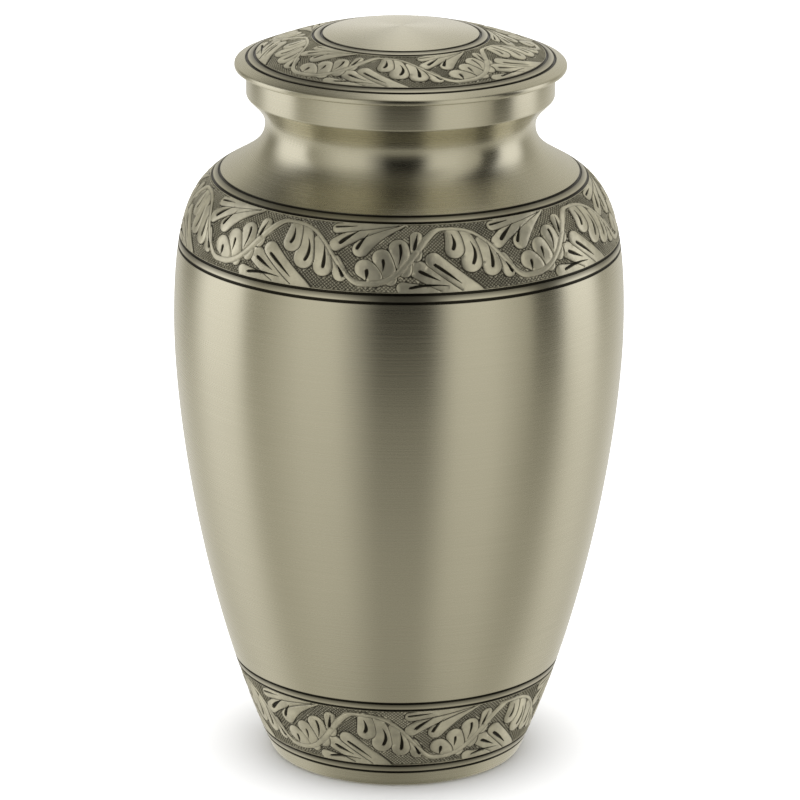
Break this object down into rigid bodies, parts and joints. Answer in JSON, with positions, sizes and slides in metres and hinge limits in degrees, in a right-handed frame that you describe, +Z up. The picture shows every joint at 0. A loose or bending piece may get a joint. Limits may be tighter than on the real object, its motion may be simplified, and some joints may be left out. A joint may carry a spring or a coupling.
{
  "type": "cremation urn",
  "caption": "Brass cremation urn in a pewter finish, with bands of low leaf scroll and a domed lid that lifts off.",
  "frame": {"origin": "middle of the flat underside", "axes": "+Z up along the turned axis, -Y to the front of the picture, +X to its right"},
  "size_m": [0.1596, 0.1596, 0.2668],
  "materials": {
    "pewter_body": "brushed pewter-coloured plating, dark patina in the carved ground",
    "pewter_lid": "brushed pewter-coloured plating, dark patina in the carved ground"
  },
  "bodies": {
    "root": {"urn_body": "pewter_body", "lid": "pewter_lid"}
  },
  "joints": []
}
